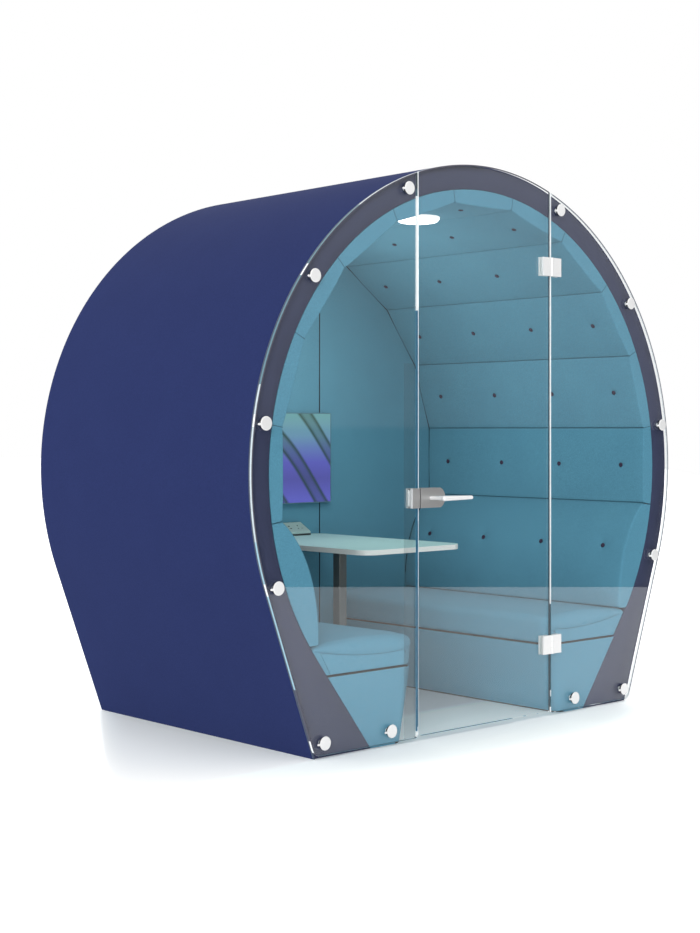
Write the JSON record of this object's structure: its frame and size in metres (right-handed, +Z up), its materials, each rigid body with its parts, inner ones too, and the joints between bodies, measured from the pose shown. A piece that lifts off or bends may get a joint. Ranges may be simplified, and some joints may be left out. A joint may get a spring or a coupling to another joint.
{
  "type": "acoustic office pod",
  "caption": "Free-standing upholstered meeting pod: horseshoe tunnel with glass front, hinged glass door, facing benches, table, wall screen and ceiling light.",
  "frame": {"origin": "on the floor, at the middle of the overall box in width and depth (the depth includes the outside lever handle)", "axes": "+Z up, +X to the right of someone facing the glass front, +Y from the glass front towards the back wall"},
  "size_m": [2.4492, 1.4926, 2.269],
  "materials": {
    "outer_fabric": "dark blue woven upholstery",
    "fascia_board": "plum-grey matt lacquered board",
    "plywood": "bare plywood, hidden",
    "lining_fabric": "teal-blue woven upholstery",
    "seat_fabric": "teal-blue woven upholstery",
    "clear_glass": "clear toughened glass with polished edges",
    "polished_steel": "bright polished",
    "satin_steel": "satin",
    "laminate": "pale laminate top with an off-white edge",
    "column_steel": "grey satin powder coat",
    "white_plastic": "off-white",
    "casing_plastic": "grey teal",
    "display": "display lit with a plain colour gradient",
    "opal_plastic": "opal diffuser, lit"
  },
  "bodies": {
    "pod": {"outer_shell": "outer_fabric", "rear_cover": "outer_fabric", "front_band": "fascia_board", "front_rib": "plywood", "rear_rib": "plywood", "back_wall_left": "lining_fabric", "back_wall_centre": "lining_fabric", "back_wall_right": "lining_fabric", "lining_panel_01": "lining_fabric", "lining_panel_02": "lining_fabric", "lining_panel_03": "lining_fabric", "lining_panel_04": "lining_fabric", "lining_panel_05": "lining_fabric", "lining_panel_06": "lining_fabric", "lining_panel_07": "lining_fabric", "lining_panel_08": "lining_fabric", "lining_panel_09": "lining_fabric", "lining_panel_10": "lining_fabric", "lining_panel_11": "lining_fabric", "backrest_left": "lining_fabric", "backrest_right": "lining_fabric", "seat_cushion_left": "seat_fabric", "seat_cushion_right": "seat_fabric", "seat_base_left": "seat_fabric", "seat_base_right": "seat_fabric", "glass_left": "clear_glass", "glass_right": "clear_glass", "standoff_left_1": "polished_steel", "standoff_left_2": "polished_steel", "standoff_left_3": "polished_steel", "standoff_left_4": "polished_steel", "standoff_left_5": "polished_steel", "standoff_left_6": "polished_steel", "standoff_right_1": "polished_steel", "standoff_right_2": "polished_steel", "standoff_right_3": "polished_steel", "standoff_right_4": "polished_steel", "standoff_right_5": "polished_steel", "standoff_right_6": "polished_steel", "hinge_lower_fixed_leaf": "polished_steel", "hinge_lower_pin": "polished_steel", "hinge_upper_fixed_leaf": "polished_steel", "hinge_upper_pin": "polished_steel", "strike_box": "satin_steel", "table_top": "laminate", "table_column": "column_steel", "table_base": "column_steel", "power_unit": "white_plastic", "lamp_housing": "white_plastic", "screen_casing": "casing_plastic", "screen_display": "display", "lamp_diffuser": "opal_plastic"},
    "door": {"glass_door": "clear_glass", "hinge_lower_door_leaf": "polished_steel", "hinge_upper_door_leaf": "polished_steel", "lock_case": "satin_steel"},
    "lever": {"lever_outside": "polished_steel", "lever_inside": "polished_steel"},
    "latch": {"latch_bolt": "satin_steel"}
  },
  "joints": [
    {"name": "door_hinge", "type": "hinge", "parent": "pod", "child": "door", "pos_m": [0.3955, -0.6565, 1.095], "axis": [0, 0, 1], "range_deg": [0, 100]},
    {"name": "lever_turn", "type": "hinge", "parent": "door", "child": "lever", "pos_m": [-0.338, -0.6435, 0.939], "axis": [0, 1, 0], "range_deg": [0, 40], "stiffness_Nm_per_rad": 2, "springref_deg": -34.38},
    {"name": "latch_slide", "type": "slide", "parent": "door", "child": "latch", "axis": [1, 0, 0], "range_m": [0, 0.011]}
  ],
  "couplings": [
    {"joint": "latch_slide", "follows": "lever_turn", "m_per_rad": 0.015756}
  ]
}
